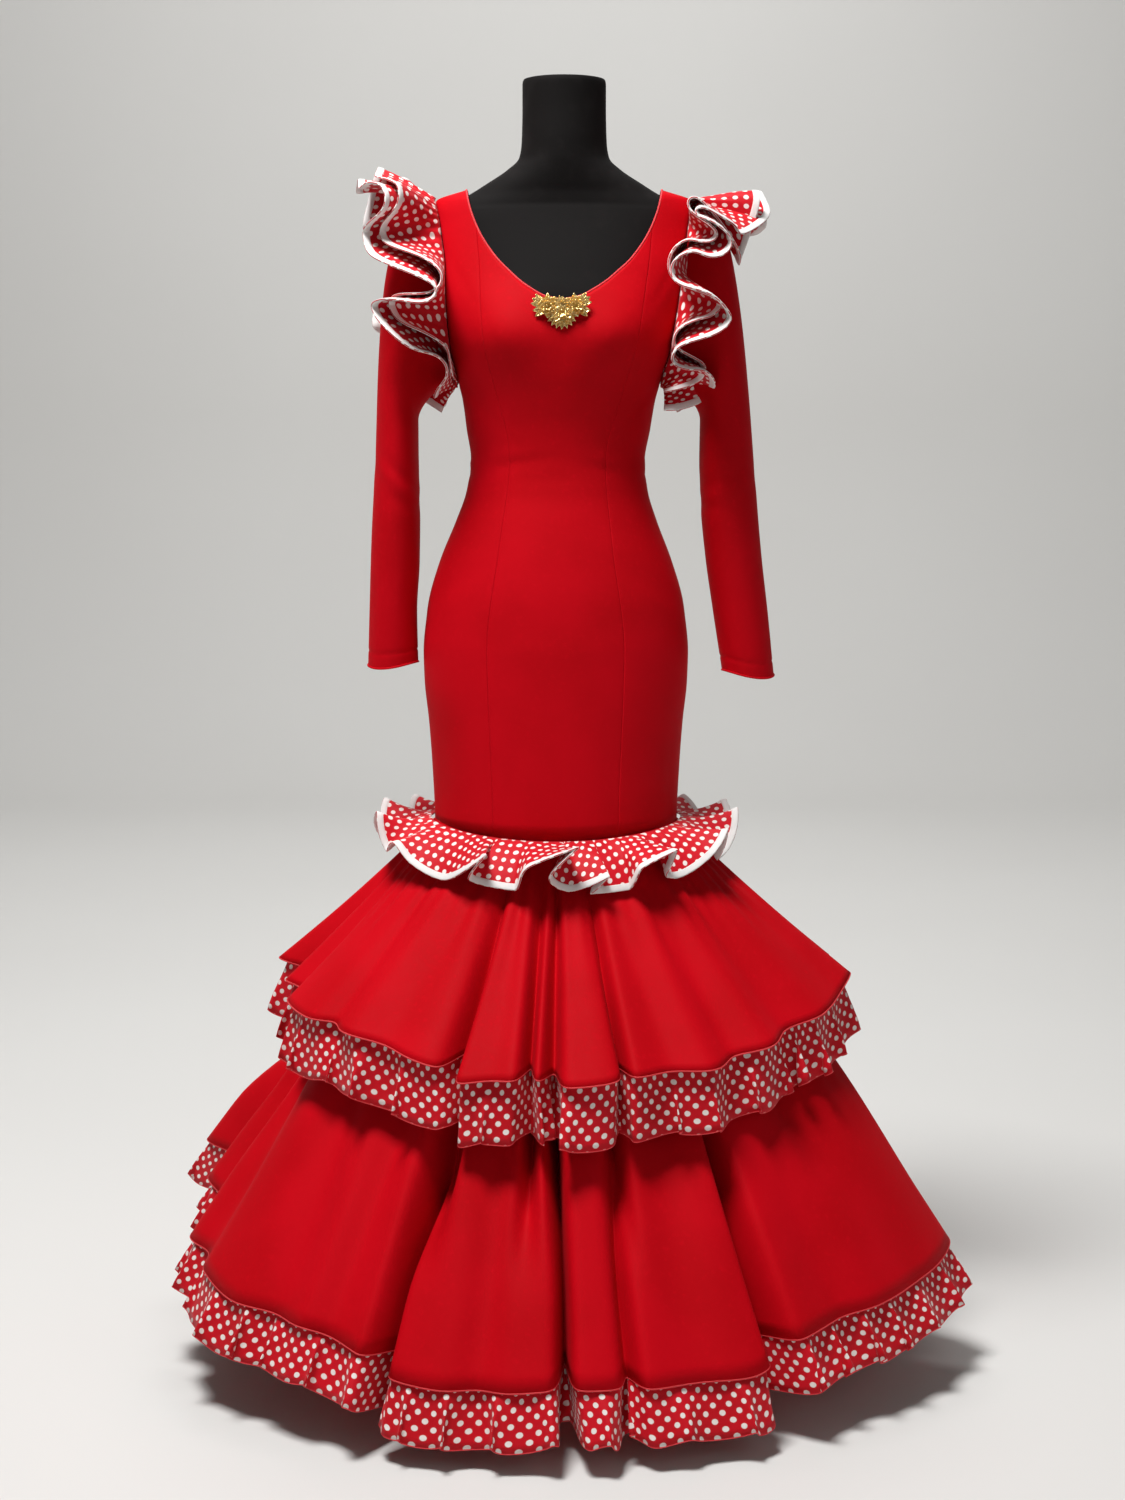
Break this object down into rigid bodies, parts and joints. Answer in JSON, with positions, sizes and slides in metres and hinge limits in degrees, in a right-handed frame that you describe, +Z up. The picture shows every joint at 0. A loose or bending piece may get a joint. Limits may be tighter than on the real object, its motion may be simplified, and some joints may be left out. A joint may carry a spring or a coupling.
{
  "type": "flamenco dress on a limbless dress form with a round stand",
  "caption": "Fitted floor-length flamenco dress with frilled shoulders, a thigh frill and two flounces with dotted trims, shown on a dress form on a stand.",
  "frame": {"origin": "centre of the stand base's underside, on the floor", "axes": "+Z up along the pole, -Y the front of the dress, +X the dress's side that is on the right when it is seen from the front"},
  "size_m": [0.9787, 0.9913, 1.522],
  "materials": {
    "crepe_red": "matt crepe",
    "polka_red": "red cotton with white dots",
    "binding_white": "white bias binding",
    "form_black": "black jersey over foam",
    "stand_black": "satin black paint",
    "brooch_gold": "bright gold plate",
    "zip_tape": "woven tape",
    "zip_metal": "red enamel"
  },
  "bodies": {
    "dress_and_form": {"front_centre": "crepe_red", "front_side_left": "crepe_red", "front_side_right": "crepe_red", "back_centre_left": "crepe_red", "back_centre_right": "crepe_red", "back_side_left": "crepe_red", "back_side_right": "crepe_red", "sleeve_left": "crepe_red", "sleeve_right": "crepe_red", "frill_upper_left": "polka_red", "frill_lower_left": "polka_red", "frill_upper_right": "polka_red", "frill_lower_right": "polka_red", "binding_upper_left": "binding_white", "binding_lower_left": "binding_white", "binding_upper_right": "binding_white", "binding_lower_right": "binding_white", "thigh_frill": "polka_red", "thigh_frill_binding": "binding_white", "skirt_band": "crepe_red", "upper_flounce": "crepe_red", "upper_trim": "polka_red", "lower_flounce": "crepe_red", "lower_trim": "polka_red", "zip_tape": "zip_tape", "zip_slider": "zip_metal", "brooch": "brooch_gold", "form_body": "form_black", "stand_pole": "stand_black", "stand_base": "stand_black"},
    "zip_tab": {"zip_tab": "zip_metal"}
  },
  "joints": [
    {"name": "zip_tab_hinge", "type": "hinge", "parent": "dress_and_form", "child": "zip_tab", "pos_m": [0.00862, 0.1072, 1.2855], "axis": [1, 0, 0], "range_deg": [0, 165]}
  ]
}
